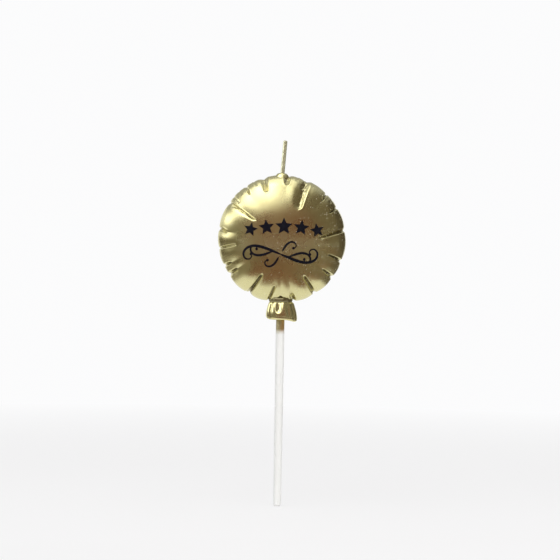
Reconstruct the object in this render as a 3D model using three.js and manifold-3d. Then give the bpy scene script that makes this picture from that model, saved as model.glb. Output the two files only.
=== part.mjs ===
// Birthday candle in the shape of a puffed foil balloon on a stick.
// Millimetres, Z up, origin at the tip of the stick, printed face towards -Y.
// Angles round the balloon run clockwise from the top, seen from the front.

import * as THREE from 'three';
import { mergeVertices } from 'three/addons/utils/BufferGeometryUtils.js';
import Module from 'manifold-3d';

const wasm = await Module();
wasm.setup();

// Balloon, cast in wax
const BALLOON_RADIUS = 25.1;
const BALLOON_HALF_DEPTH = 8.8;
const BALLOON_CENTRE_Z = 107;
const EDGE_POWER = 2.6;
const CROWN_POWER = 0.6;
const LOBE_BULGE = 0.6;
const LOBE_FULL_GAP = 24;
const LOBE_LOW = 0.5;
const LOBE_START = 0.55;
const LOBE_POWER = 0.6;
const GROOVE_SPREAD = 1.35;
const GROOVE_BOTTOM = 0.15;
const GROOVE_SHOULDER = 0.22;
const WIDE_FADE = 1.8;
const RIM_FLARE = 1.3;
const TIP_NARROW = 0.7;
const WIDE_TIP_NARROW = 0.4;
const RIM_EASE = 0.5;
const RIM_EASE_REACH = 2;
const TIP_EASE = 0.75;

// Pleats that gather the rim: angle at the rim in degrees, how far they reach in from it,
// how far the inner end is drifted clockwise, half width on the clockwise side and on the
// other, depth, and how far it narrows from the rim to its inner end, 0 if it doesn't
const PLEATS = [
  { angle: 4.2, reach: 3.7, drift: 0.1, width: 0.95, wide: 0.95, depth: 0.9, taper: 0.8 },
  { angle: 22.5, reach: 11.6, drift: 1.5, width: 1, wide: 3, depth: 1.1, taper: 0.6 },
  { angle: 44.3, reach: 3.2, drift: 0.7, width: 0.4, wide: 0.4, depth: 0.9, taper: 1 },
  { angle: 60, reach: 3.5, drift: 0.4, width: 0.4, wide: 0.4, depth: 0.8, taper: 1 },
  { angle: 81.7, reach: 10.2, drift: 2, width: 0.45, wide: 0.9, depth: 0.95, taper: 0.8 },
  { angle: 110, reach: 5.4, drift: -0.5, width: 0.5, wide: 0.5, depth: 1, taper: 1 },
  { angle: 126.5, reach: 4.6, drift: 0, width: 0.5, wide: 0.55, depth: 1, taper: 0.6 },
  { angle: 148, reach: 7.6, drift: 0.3, width: 0.6, wide: 0.6, depth: 1.1, taper: 0.2 },
  { angle: 168.8, reach: 2.9, drift: 0.2, width: 0.75, wide: 0.75, depth: 0.9, taper: 0.4 },
  { angle: 180, reach: 1.8, drift: 0, width: 1.1, wide: 1.1, depth: 1.8, taper: 1 },
  { angle: 191, reach: 5.9, drift: -1.2, width: 0.45, wide: 0.45, depth: 0.95, taper: 0 },
  { angle: 210.3, reach: 8.6, drift: -0.9, width: 0.52, wide: 0.52, depth: 1.2, taper: 0 },
  { angle: 234.6, reach: 3.8, drift: 0, width: 0.6, wide: 0.6, depth: 1.1, taper: 0.5 },
  { angle: 243.9, reach: 2.9, drift: -0.25, width: 0.5, wide: 0.5, depth: 0.9, taper: 0.3 },
  { angle: 260.3, reach: 6.4, drift: 0.15, width: 0.4, wide: 0.4, depth: 0.55, taper: 0 },
  { angle: 278, reach: 3.2, drift: -1, width: 0.55, wide: 0.6, depth: 0.8, taper: 0.6 },
  { angle: 304, reach: 12.2, drift: -0.2, width: 0.32, wide: 1.5, depth: 0.8, taper: 1 },
  { angle: 324.6, reach: 3.5, drift: -0.7, width: 0.45, wide: 0.5, depth: 0.7, taper: 1 },
  { angle: 342.2, reach: 5.7, drift: -0.5, width: 0.9, wide: 1.1, depth: 1.1, taper: 1 },
];

// On the back the same pleats cross the rim, with their lengths dealt out in another order
const BACK_REACH_SHIFT = 7;

// Throat, the gathered underside of the balloon, and its spigot in the neck
const THROAT_HALF_WIDTH = 5;
const THROAT_DEPTH_RATIO = 0.8;
const THROAT_TOP_Z = 88.6;
const THROAT_FOOT_Z = 81.6;
const THROAT_FOLD_SHARE = 0.5;
const THROAT_OUTLINE = [
  [3, 86.5], [3.1, 84.4], [3.4, 83.7], [4.4, 83.3], [4.8, 82.9], [4.8, 82.1], [4.5, THROAT_FOOT_Z],
];
const SPIGOT_RADIUS = 2.8;
const SPIGOT_FOOT_Z = 79.6;

// Seat, a low mound of wax that the wick comes out of, with its shoulders given as shares of
// the way from its top's edge out to its foot, and of the way up
const SEAT_CENTRE_X = -0.3;
const SEAT_RADIUS = 3.2;
const SEAT_TOP_RADIUS = 1.9;
const SEAT_DEPTH_RATIO = 0.8;
const SEAT_FOOT_Z = 130.8;
const SEAT_TOP_Z = 133.3;
const SEAT_SHOULDERS = [[0.75, 0.5], [0.35, 0.85]];

// Neck, flared below the tie
const NECK_TOP_Z = 81.4;
const NECK_LIP_Z = 74.4;
const NECK_TOP_HALF_WIDTH = 5.1;
const NECK_LIP_HALF_WIDTH = 6.35;
const NECK_FLARE_END = 0.85;
const NECK_DEPTH_RATIO = 0.76;
const NECK_TOP_SHIFT_X = 0.25;
const NECK_LIP_SHIFT_X = 0.5;
const NECK_LIP_TILT = 0.075;
const NECK_LIP_WAVE = 0.2;
const NECK_LIP_WAVES = 3;
const NECK_LIP_WAVE_TURN = 0.9;
const NECK_DISH = 1.3;
const NECK_DISH_LEDGE = 0.8;

// Section of the neck from its top down round its lip: share of the half width, share of the
// height from the top, and rise
const NECK_SECTION = [
  [0.95, 0, 0],
  ...[0.05, 0.15, 0.28, 0.42, 0.56, 0.7, 0.82].map((fall) => [1, fall, 0]),
  [0.99, 0.9, 0],
  [0.955, 0.96, 0],
  [0.89, 1, 0],
  [0.83, 1, 0],
  [0.77, 1, 0.35],
];

// Folds down the neck: degrees from the front towards +X, half width in degrees, depth,
// and the height below the top where they run out
const FOLD_NARROWING = 0.45;
const FOLD_FADE_START = 0.6;
const NECK_FOLDS = [
  { at: -50, width: 9, depth: 0.55, run: 8.5 },
  { at: -12, width: 14.5, depth: 0.85, run: 4.7 },
  { at: 27, width: 9, depth: 0.35, run: 6.5 },
  { at: 55, width: 10, depth: 0.45, run: 8.5 },
  { at: 98, width: 12, depth: 0.5, run: 8.5 },
  { at: 140, width: 14, depth: 0.7, run: 5.5 },
  { at: 176, width: 11, depth: 0.45, run: 8.5 },
  { at: 214, width: 13, depth: 0.6, run: 8.5 },
  { at: 262, width: 12, depth: 0.5, run: 6.5 },
];

// Stick, moulded plastic
const STICK_RADIUS = 1.7;
const STICK_TIP_RADIUS = 1.55;
const STICK_TIP_FLAT = 0.6;
const STICK_TOP_Z = 101;
const STICK_TAPER_Z = 60;
const STICK_CHAMFER = 0.4;

// Wick, a cotton braid with a lacquered wax coat on its free end
const WICK_RADIUS = 0.5;
const WICK_COAT_RADIUS = 0.85;
const WICK_COAT_BORE = 0.65;
const WICK_FOOT = new THREE.Vector3(0, 0, 101.6);
const WICK_BEND = new THREE.Vector3(-0.2, 0, 132);
const WICK_TIP = new THREE.Vector3(0.8, 0, 146);
const WICK_LEAN = WICK_TIP.clone().sub(WICK_BEND).normalize();
const WICK_CORE_PROUD = 0.15;
const WICK_CORE_OVERLAP = 0.4;
const COAT_START = -1;

// Clearances and facets
const FIT_GAP = 0.2;
const CUT_PAST = 1;
const PLEAT_STEP = 2.4;
const PLEAT_STEP_MIN = 5;
const PLEAT_CLOSENESS = 0.6;
const BALLOON_RINGS = 15;
const NECK_SIDES = 60;
const STICK_SIDES = 28;
const STICK_TIP_STEPS = 5;
const WICK_SIDES = 14;

const toRadians = THREE.MathUtils.degToRad;
const smooth = THREE.MathUtils.smoothstep;
const mix = THREE.MathUtils.lerp;

// Solids
function solidOf(geometry) {
  const bare = geometry.index ? geometry.toNonIndexed() : geometry.clone();
  bare.deleteAttribute('normal');
  bare.deleteAttribute('uv');
  const merged = mergeVertices(bare, 1e-5);
  const mesh = new wasm.Mesh({
    numProp: 3,
    vertProperties: new Float32Array(merged.attributes.position.array),
    triVerts: new Uint32Array(merged.index.array),
  });
  return new wasm.Manifold(mesh);
}

function geometryOf(solid) {
  const mesh = solid.getMesh();
  const geometry = new THREE.BufferGeometry();
  geometry.setAttribute('position', new THREE.BufferAttribute(mesh.vertProperties, 3));
  geometry.setIndex(new THREE.BufferAttribute(mesh.triVerts, 1));
  geometry.computeVertexNormals();
  return geometry;
}

// Turned solid on the Z axis, from [radius, z] pairs that run upwards from axis to axis
function turned(profile, sides) {
  const points = profile.map(([radius, z]) => new THREE.Vector2(radius, z));
  const geometry = new THREE.LatheGeometry(points, sides);
  geometry.rotateX(Math.PI / 2);
  return geometry;
}

// Place on the wick's leaning end, at a distance from the bend
function onWick(distance) {
  return WICK_BEND.clone().addScaledVector(WICK_LEAN, distance);
}

// Straight round rod between two points
function rod(from, to, radius, sides) {
  const shape = new THREE.Shape();
  shape.absarc(0, 0, radius, 0, 2 * Math.PI);
  const path = new THREE.LineCurve3(from, to);
  const options = { steps: 1, extrudePath: path, curveSegments: sides };
  return new THREE.ExtrudeGeometry(shape, options);
}

// Balloon
function pleatLine(pleat, reach) {
  const angle = toRadians(pleat.angle);
  const outward = new THREE.Vector2(Math.sin(angle), Math.cos(angle));
  const clockwise = new THREE.Vector2(outward.y, -outward.x);
  const start = outward.clone().multiplyScalar(BALLOON_RADIUS);
  const end = start.clone().addScaledVector(outward, -reach).addScaledVector(clockwise, pleat.drift);
  const along = end.clone().sub(start);
  const length = along.length();
  along.normalize();
  const evenness = pleat.width / pleat.wide;
  const flare = mix(1, RIM_FLARE, pleat.taper);
  const tip = mix(1, TIP_NARROW, pleat.taper);
  const wideTip = mix(1, mix(WIDE_TIP_NARROW, TIP_NARROW, evenness), pleat.taper);
  const wideFade = 1 + WIDE_FADE * (1 - evenness);
  return { ...pleat, reach, start, along, length, flare, tip, wideTip, wideFade };
}

function pleatLines(front) {
  return PLEATS.map((pleat, index) => {
    const other = PLEATS[(index + BACK_REACH_SHIFT) % PLEATS.length];
    return pleatLine(pleat, front ? pleat.reach : other.reach);
  });
}

const FRONT_LINES = pleatLines(true);
const BACK_LINES = pleatLines(false);

// Degrees by which a pleat's line has drifted at a radius inside the rim
function driftAngle(line, radius) {
  const inside = Math.min(BALLOON_RADIUS - radius, line.reach);
  const held = Math.max(radius, BALLOON_RADIUS - line.reach);
  return THREE.MathUtils.radToDeg(line.drift * inside / line.reach / held);
}

// Depth share across a pleat: a V with rounded bottom and shoulders
function groove(away) {
  const flank = 1 - (Math.hypot(away, GROOVE_BOTTOM) - GROOVE_BOTTOM) / GROOVE_SPREAD;
  if (flank < -GROOVE_SHOULDER) {
    return 0;
  }
  if (flank < GROOVE_SHOULDER) {
    return (flank + GROOVE_SHOULDER) ** 2 / (4 * GROOVE_SHOULDER);
  }
  return flank;
}

// How deep one pleat presses the surface in at a point of the balloon's face
function pressOf(line, x, z) {
  const along = (x - line.start.x) * line.along.x + (z - line.start.y) * line.along.y;
  const across = (x - line.start.x) * line.along.y - (z - line.start.y) * line.along.x;
  const share = THREE.MathUtils.clamp(along / line.length, 0, 1);
  const onWideSide = across > 0;
  const width = onWideSide ? line.wide : line.width;
  const half = width * mix(line.flare, onWideSide ? line.wideTip : line.tip, share);
  const end = mix(line.width, line.wide, smooth(across, 0, line.wide)) * line.tip;
  const beyond = Math.max(0, along - (line.length - end));
  const away = Math.hypot(across / half, beyond / end);
  const eased = mix(RIM_EASE, 1, smooth(along, 0, RIM_EASE_REACH));
  const depth = line.depth * eased * mix(1, TIP_EASE, share);
  return depth * groove(away) ** (onWideSide ? line.wideFade : 1);
}

function pleatDepth(x, z, lines) {
  return lines.reduce((depth, line) => depth + pressOf(line, x, z), 0);
}

// Swell of the lobe between two neighbouring pleats, full at the rim and gone further in,
// and fuller low down
function lobeSwell(share, gap, spread, angle) {
  const lower = 1 - LOBE_LOW * Math.cos(angle);
  const fullness = LOBE_BULGE * lower * Math.min(gap / LOBE_FULL_GAP, 1);
  const grown = smooth(spread, LOBE_START, 1);
  return fullness * grown * Math.sin(Math.PI * share) ** mix(2, LOBE_POWER, grown);
}

// Point of the balloon's skin: a superellipse section, moved along its own normal
function balloonPoint(index, share, ring, front) {
  const lines = front ? FRONT_LINES : BACK_LINES;
  const count = lines.length;
  const spread = Math.sin((ring / BALLOON_RINGS) * Math.PI / 2);
  const here = lines[index];
  const next = lines[(index + 1) % count];
  const gap = (next.angle - here.angle + 360) % 360;
  const radius = BALLOON_RADIUS * spread;
  const drift = mix(driftAngle(here, radius), driftAngle(next, radius), share);
  const angle = toRadians(here.angle + gap * share + drift);
  const height = Math.max(1 - spread ** EDGE_POWER, 0) ** CROWN_POWER;
  const normal = new THREE.Vector2(
    EDGE_POWER * spread ** (EDGE_POWER - 1) / BALLOON_RADIUS,
    height ** (1 / CROWN_POWER - 1) / CROWN_POWER / BALLOON_HALF_DEPTH,
  ).normalize();
  const pressed = pleatDepth(radius * Math.sin(angle), radius * Math.cos(angle), lines);
  const lift = lobeSwell(share, gap, spread, angle) - pressed;
  const out = radius + normal.x * lift;
  const proud = BALLOON_HALF_DEPTH * height + normal.y * lift;
  return new THREE.Vector3(
    out * Math.sin(angle),
    front ? -proud : proud,
    BALLOON_CENTRE_Z + out * Math.cos(angle),
  );
}

// Places round the rim, closer together near the pleats
function rimPlaces() {
  const places = [];
  PLEATS.forEach((pleat, index) => {
    const next = PLEATS[(index + 1) % PLEATS.length];
    const gap = (next.angle - pleat.angle + 360) % 360;
    const steps = Math.max(PLEAT_STEP_MIN, Math.round(gap / PLEAT_STEP));
    for (let step = 0; step < steps; step += 1) {
      const even = step / steps;
      const close = (1 - Math.cos(Math.PI * even)) / 2;
      places.push([index, mix(even, close, PLEAT_CLOSENESS)]);
    }
  });
  return places;
}

// Both faces as one closed skin that shares its rim
function balloonSkin() {
  const places = rimPlaces();
  const around = places.length;
  const positions = [];
  const faces = [];
  const put = (point) => positions.push(point.x, point.y, point.z) / 3 - 1;
  const rows = [];
  for (let ring = 1; ring <= BALLOON_RINGS; ring += 1) {
    rows.push(places.map(([index, share]) => put(balloonPoint(index, share, ring, true))));
  }
  for (let ring = BALLOON_RINGS - 1; ring >= 1; ring -= 1) {
    rows.push(places.map(([index, share]) => put(balloonPoint(index, share, ring, false))));
  }
  const frontPole = put(new THREE.Vector3(0, -BALLOON_HALF_DEPTH, BALLOON_CENTRE_Z));
  const backPole = put(new THREE.Vector3(0, BALLOON_HALF_DEPTH, BALLOON_CENTRE_Z));
  const last = rows.length - 1;
  for (let i = 0; i < around; i += 1) {
    const j = (i + 1) % around;
    faces.push(frontPole, rows[0][j], rows[0][i]);
    faces.push(backPole, rows[last][i], rows[last][j]);
    for (let row = 0; row < last; row += 1) {
      faces.push(rows[row][i], rows[row][j], rows[row + 1][i]);
      faces.push(rows[row][j], rows[row + 1][j], rows[row + 1][i]);
    }
  }
  const geometry = new THREE.BufferGeometry();
  geometry.setAttribute('position', new THREE.Float32BufferAttribute(positions, 3));
  geometry.setIndex(faces);
  return geometry;
}

function wickSeat() {
  const shoulders = SEAT_SHOULDERS.map(([out, up]) => [
    mix(SEAT_TOP_RADIUS, SEAT_RADIUS, out),
    mix(SEAT_FOOT_Z, SEAT_TOP_Z, up),
  ]);
  const mound = turned([
    [0, SEAT_FOOT_Z],
    [SEAT_RADIUS, SEAT_FOOT_Z],
    ...shoulders,
    [SEAT_TOP_RADIUS, SEAT_TOP_Z],
    [0, SEAT_TOP_Z],
  ], STICK_SIDES);
  mound.scale(1, SEAT_DEPTH_RATIO, 1);
  mound.translate(SEAT_CENTRE_X, 0, 0);
  return mound;
}

function balloonBody() {
  const below = SPIGOT_FOOT_Z - CUT_PAST;
  const socket = turned([
    [0, below],
    [STICK_RADIUS + FIT_GAP, below],
    [STICK_RADIUS + FIT_GAP, STICK_TOP_Z + FIT_GAP],
    [0, STICK_TOP_Z + FIT_GAP],
  ], STICK_SIDES);
  const wickBore = turned([
    [0, STICK_TOP_Z],
    [WICK_RADIUS + FIT_GAP, STICK_TOP_Z],
    [WICK_RADIUS + FIT_GAP, WICK_BEND.z],
    [0, WICK_BEND.z],
  ], WICK_SIDES);
  const coatBore = rod(onWick(COAT_START - FIT_GAP), WICK_TIP, WICK_COAT_RADIUS + FIT_GAP, WICK_SIDES);
  return geometryOf(
    solidOf(balloonSkin())
      .add(solidOf(throat()))
      .add(solidOf(wickSeat()))
      .subtract(solidOf(socket))
      .subtract(solidOf(wickBore))
      .subtract(solidOf(coatBore)),
  );
}

// Neck
function foldDepth(degrees, below) {
  let depth = 0;
  for (const fold of NECK_FOLDS) {
    const turn = (degrees - fold.at + 540) % 360 - 180;
    const narrowed = fold.width * mix(1, FOLD_NARROWING, Math.min(below / fold.run, 1));
    const fade = 1 - smooth(below, fold.run * FOLD_FADE_START, fold.run);
    depth += fold.depth * fade * Math.exp(-((turn / narrowed) ** 2));
  }
  return depth;
}

// Wavy height that the lip and its underside follow
function lipDrop(degrees) {
  const turn = toRadians(degrees);
  const wave = NECK_LIP_WAVE * Math.sin(NECK_LIP_WAVES * turn + NECK_LIP_WAVE_TURN);
  return wave - NECK_LIP_TILT * NECK_LIP_HALF_WIDTH * Math.sin(turn);
}

// Point of the neck's outside, at a place of its section
function neckPoint(degrees, [widthShare, fall, rise]) {
  const turn = toRadians(degrees);
  const flared = Math.sin(Math.min(fall / NECK_FLARE_END, 1) * Math.PI / 2);
  const below = fall * (NECK_TOP_Z - NECK_LIP_Z);
  const flare = mix(NECK_TOP_HALF_WIDTH, NECK_LIP_HALF_WIDTH, flared);
  const half = (flare - foldDepth(degrees, below)) * widthShare;
  return new THREE.Vector3(
    half * Math.sin(turn) + mix(NECK_TOP_SHIFT_X, NECK_LIP_SHIFT_X, fall) * widthShare,
    -half * Math.cos(turn) * NECK_DEPTH_RATIO,
    mix(NECK_TOP_Z, NECK_LIP_Z + lipDrop(degrees), fall) + rise,
  );
}

// Point of the throat, whose folds run on from those of the neck
function throatPoint(degrees, half, z) {
  const turn = toRadians(degrees);
  const folded = half * (1 - THROAT_FOLD_SHARE * foldDepth(degrees, 0) / THROAT_HALF_WIDTH);
  return new THREE.Vector3(
    folded * Math.sin(turn),
    -folded * Math.cos(turn) * THROAT_DEPTH_RATIO,
    z,
  );
}

function ringPoint(degrees, radius, z) {
  const turn = toRadians(degrees);
  return new THREE.Vector3(radius * Math.sin(turn), -radius * Math.cos(turn), z);
}

// Closed sweep of a section that returns to its first ring
function closedRings(rings, sides) {
  const positions = [];
  const faces = [];
  for (const ring of rings) {
    for (let side = 0; side < sides; side += 1) {
      const point = ring(360 * side / sides);
      positions.push(point.x, point.y, point.z);
    }
  }
  for (let row = 0; row < rings.length; row += 1) {
    const after = (row + 1) % rings.length;
    for (let side = 0; side < sides; side += 1) {
      const over = (side + 1) % sides;
      const corners = [row * sides + side, row * sides + over, after * sides + over, after * sides + side];
      faces.push(corners[0], corners[2], corners[1]);
      faces.push(corners[0], corners[3], corners[2]);
    }
  }
  const geometry = new THREE.BufferGeometry();
  geometry.setAttribute('position', new THREE.Float32BufferAttribute(positions, 3));
  geometry.setIndex(faces);
  geometry.computeVertexNormals();
  return geometry;
}

// Throat and spigot round the stick's socket
function throat() {
  const bore = STICK_RADIUS + FIT_GAP;
  return closedRings([
    (degrees) => ringPoint(degrees, bore, THROAT_TOP_Z),
    ...THROAT_OUTLINE.map(([half, z]) => (degrees) => throatPoint(degrees, half, z)),
    (degrees) => ringPoint(degrees, SPIGOT_RADIUS, THROAT_FOOT_Z),
    (degrees) => ringPoint(degrees, SPIGOT_RADIUS, SPIGOT_FOOT_Z),
    (degrees) => ringPoint(degrees, bore, SPIGOT_FOOT_Z),
  ], NECK_SIDES);
}

function neckCollar() {
  const bore = STICK_RADIUS + FIT_GAP;
  const socket = SPIGOT_RADIUS + FIT_GAP;
  const floor = SPIGOT_FOOT_Z - FIT_GAP;
  return closedRings([
    (degrees) => ringPoint(degrees, socket, NECK_TOP_Z),
    ...NECK_SECTION.map((place) => (degrees) => neckPoint(degrees, place)),
    (degrees) => ringPoint(degrees, bore + NECK_DISH_LEDGE, NECK_LIP_Z + NECK_DISH),
    (degrees) => ringPoint(degrees, bore, NECK_LIP_Z + NECK_DISH),
    (degrees) => ringPoint(degrees, bore, floor),
    (degrees) => ringPoint(degrees, socket, floor),
  ], NECK_SIDES);
}

// Stick
function stick() {
  const tip = [];
  const corner = STICK_TIP_RADIUS - STICK_TIP_FLAT;
  for (let step = 0; step <= STICK_TIP_STEPS; step += 1) {
    const turn = (step / STICK_TIP_STEPS) * Math.PI / 2;
    tip.push([STICK_TIP_FLAT + corner * Math.sin(turn), corner * (1 - Math.cos(turn))]);
  }
  return turned([
    [0, 0],
    ...tip,
    [STICK_RADIUS, STICK_TAPER_Z],
    [STICK_RADIUS, STICK_TOP_Z - STICK_CHAMFER],
    [STICK_RADIUS - STICK_CHAMFER, STICK_TOP_Z],
    [0, STICK_TOP_Z],
  ], STICK_SIDES);
}

// Wick
function wickCore() {
  const tip = WICK_TIP.clone().addScaledVector(WICK_LEAN, WICK_CORE_PROUD);
  const buried = solidOf(rod(WICK_FOOT, WICK_BEND, WICK_RADIUS, WICK_SIDES));
  const free = solidOf(rod(onWick(-WICK_CORE_OVERLAP), tip, WICK_RADIUS, WICK_SIDES));
  return geometryOf(buried.add(free));
}

function wickSheath() {
  const beyond = WICK_TIP.clone().addScaledVector(WICK_LEAN, CUT_PAST);
  const coat = solidOf(rod(onWick(COAT_START), WICK_TIP, WICK_COAT_RADIUS, WICK_SIDES));
  const bore = solidOf(rod(onWick(COAT_START - CUT_PAST), beyond, WICK_COAT_BORE, WICK_SIDES));
  return geometryOf(coat.subtract(bore));
}

// Finishes
const goldLacquer = { color: 0xc9b87a, metalness: 1, roughness: 0.3 };
const brightGold = { color: 0xb9a568, metalness: 1, roughness: 0.14 };
const whitePlastic = { color: 0xf1f1ef, metalness: 0, roughness: 0.4 };
const cotton = { color: 0xd8cfae, metalness: 0, roughness: 0.9 };

function piece(name, geometry, finish) {
  const mesh = new THREE.Mesh(geometry, new THREE.MeshStandardMaterial(finish));
  mesh.name = name;
  return mesh;
}

const candle = new THREE.Group();
candle.add(piece('balloon_body', balloonBody(), goldLacquer));
candle.add(piece('neck_collar', neckCollar(), brightGold));
candle.add(piece('stick', stick(), whitePlastic));
candle.add(piece('wick_core', wickCore(), cotton));
candle.add(piece('wick_sheath', wickSheath(), goldLacquer));

export default candle;
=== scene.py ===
"""Birthday candle in the shape of a puffed foil balloon on a stick.

Builds the candle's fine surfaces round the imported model, in metres, with Z up, the origin at the tip
of the stick and the printed face towards -Y. Angles round the balloon run clockwise from the top,
seen from the front.
"""

import math

import bmesh
import bpy
from bpy.props import FloatProperty, FloatVectorProperty, PointerProperty
from mathutils import Matrix, Vector, noise
from mathutils.bvhtree import BVHTree


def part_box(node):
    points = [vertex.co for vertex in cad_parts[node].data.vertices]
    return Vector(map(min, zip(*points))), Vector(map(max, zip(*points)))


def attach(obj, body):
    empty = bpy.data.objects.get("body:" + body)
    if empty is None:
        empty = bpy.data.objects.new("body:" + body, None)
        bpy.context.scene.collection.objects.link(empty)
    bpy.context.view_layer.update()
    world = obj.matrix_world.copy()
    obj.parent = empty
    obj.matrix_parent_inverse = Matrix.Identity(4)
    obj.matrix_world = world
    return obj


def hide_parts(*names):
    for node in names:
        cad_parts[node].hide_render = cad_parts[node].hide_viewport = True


bl_info = {
    "name": "Balloon Candle",
    "version": (1, 0, 0),
    "blender": (4, 5, 0),
    "location": "View3D > Sidebar > Candle",
    "description": "A cake candle shaped like a puffed foil balloon, on a stick",
    "category": "Add Mesh",
}

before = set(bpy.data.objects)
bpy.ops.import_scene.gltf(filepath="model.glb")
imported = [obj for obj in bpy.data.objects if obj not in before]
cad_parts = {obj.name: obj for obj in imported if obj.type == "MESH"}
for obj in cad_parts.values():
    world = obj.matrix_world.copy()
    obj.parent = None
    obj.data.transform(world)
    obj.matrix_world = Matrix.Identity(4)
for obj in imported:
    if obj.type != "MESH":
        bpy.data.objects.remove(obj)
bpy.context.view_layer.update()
MM = 0.001

BODY_LOW, BODY_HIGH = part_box("balloon_body")
STICK_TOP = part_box("stick")[1].z

# Vertices this near are merged where a turned skin meets itself or its axis
MERGE_DISTANCE = 1e-7

# Balloon: its section from the middle out to the rim
BALLOON_CENTRE = Vector((0, 0, 107 * MM))
EDGE_POWER = 2.6
CROWN_POWER = 0.6

# Lobes between the pleats: the gap in degrees that makes a full one, how much fuller they are at the
# bottom, where they begin, and how steep their bow is, inside and at the rim
LOBE_FULL_GAP = 24
LOBE_LOW = 0.5
LOBE_START = 0.55
LOBE_INNER_POWER = 2
LOBE_POWER = 0.6

# Groove of a pleat, in shares of its half width, and its raised lip
PLEAT_REACH = 4
GROOVE_SPREAD = 1.35
GROOVE_BOTTOM = 0.15
GROOVE_SHOULDER = 0.22
WIDE_FADE = 1.8
LIP_HEIGHT = 0.11 * MM
LIP_AT = 1.6
LIP_WIDTH = 0.4

# How a pleat's width changes from the rim to its inner end, and that of its wide side where it has one
RIM_FLARE = 1.3
TIP_NARROW = 0.7
WIDE_TIP_NARROW = 0.4

# How a pleat's depth eases off at the rim, over a reach, and at its inner end, and its uneven crumple
RIM_EASE = 0.5
RIM_EASE_REACH = 2 * MM
TIP_EASE = 0.75
CRUMPLE = 0.12
CRUMPLE_MOST = 2.5
CRUMPLE_SIZE = 0.9 * MM

# Mesh of the balloon. Its points stand closer together beside the pleats' lines: how many times, to
# what distance, over how many such distances that fades, and how far inside a pleat's end it starts
BALLOON_SEGMENTS = 480
BALLOON_RINGS = 150
TURN_BINS = 4 * BALLOON_SEGMENTS
CLOSE_SPACING = 3.5
CLOSE_REACH = 1.2 * MM
CLOSE_SPAN = 2.5
CLOSE_START = 6 * MM
ON_RIM = 1e-6

# Pleats that gather the rim: angle at the rim in degrees, then in millimetres how far they reach in
# from it, how far the inner end is drifted clockwise, half width on the clockwise side and on the
# other, depth, and how far it narrows from the rim to its inner end, 0 if it doesn't
PLEATS_MM = (
    (4.2, 3.7, 0.1, 0.95, 0.95, 0.9, 0.8),
    (22.5, 11.6, 1.5, 1, 3, 1.1, 0.6),
    (44.3, 3.2, 0.7, 0.4, 0.4, 0.9, 1),
    (60, 3.5, 0.4, 0.4, 0.4, 0.8, 1),
    (81.7, 10.2, 2, 0.45, 0.9, 0.95, 0.8),
    (110, 5.4, -0.5, 0.5, 0.5, 1, 1),
    (126.5, 4.6, 0, 0.5, 0.55, 1, 0.6),
    (148, 7.6, 0.3, 0.6, 0.6, 1.1, 0.2),
    (168.8, 2.9, 0.2, 0.75, 0.75, 0.9, 0.4),
    (180, 1.8, 0, 1.1, 1.1, 1.8, 1),
    (191, 5.9, -1.2, 0.45, 0.45, 0.95, 0),
    (210.3, 8.6, -0.9, 0.52, 0.52, 1.2, 0),
    (234.6, 3.8, 0, 0.6, 0.6, 1.1, 0.5),
    (243.9, 2.9, -0.25, 0.5, 0.5, 0.9, 0.3),
    (260.3, 6.4, 0.15, 0.4, 0.4, 0.55, 0),
    (278, 3.2, -1, 0.55, 0.6, 0.8, 0.6),
    (304, 12.2, -0.2, 0.32, 1.5, 0.8, 1),
    (324.6, 3.5, -0.7, 0.45, 0.5, 0.7, 1),
    (342.2, 5.7, -0.5, 0.9, 1.1, 1.1, 1),
)

# Fine creases between the pleats, given the same way
CREASES_MM = (
    (13.5, 1.8, 0.3, 0.3, 0.3, 0.35, 1),
    (52, 1.6, 0.2, 0.25, 0.25, 0.3, 1),
    (208.3, 3, 0.7, 0.3, 0.3, 0.5, 1),
    (212.7, 3, -1, 0.3, 0.3, 0.5, 1),
    (310, 3.2, -0.6, 0.3, 0.45, 0.6, 1),
    (316.5, 1.9, 0.2, 0.25, 0.25, 0.4, 1),
    (333, 2.2, -0.3, 0.3, 0.3, 0.4, 1),
)

# How many places on round the rim the back's pleats find their reach
BACK_REACH_SHIFT = 7

# Painted shade deep in the pleats, darker than the lacquer: how deep in millimetres it starts and is
# full, how full, the half width and the depth that count whole, and the most that a narrower flank
# counts
CREVICE_SPAN = (0.25, 0.75)
CREVICE_SHARE = 0.8
CREVICE_WIDTH = 0.5 * MM
CREVICE_DEPTH = 1.1 * MM
CREVICE_MOST = 1.5

# Span that a noise texture mostly stays in
NOISE_SPAN = (0.3, 0.7)

# Lacquer: where it has pooled, its clear coat and the height of its grain
POOLED_SPAN = (0.35, 0.75)
POOLED_MOST = 0.35
LACQUER_COAT = 0.9
LACQUER_COAT_ROUGHNESS = 0.2
GRAIN_HEIGHT = 0.03 * MM

# Dust on the lacquer: the side it settled on, from where to where along it, how little of it lies
# elsewhere, and how it dulls the metal
DUST_SIDE = (0.8, 0, -0.6)
DUST_SPAN = (-68 * MM, -48 * MM)
DUST_LEAST = 0.05
DUST_HIDES = 0.8
DUST_ROUGHENS = 0.3

# Printed stars: place from the middle of the row, height over it and radius in millimetres, and
# turn in degrees
STARS_MM = (
    (-13.2, -0.7, 2.9, 12),
    (-6.9, 0.2, 3.2, -7),
    (0, 0.6, 3.6, 0),
    (6.9, 0.2, 3.2, 7),
    (13.2, -0.7, 2.9, -12),
)
STAR_ROW = Vector((0.8, 0, 111)) * MM
STAR_INNER = 0.46
STAR_POINTS = 5
STAR_CUTS = 5

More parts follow.
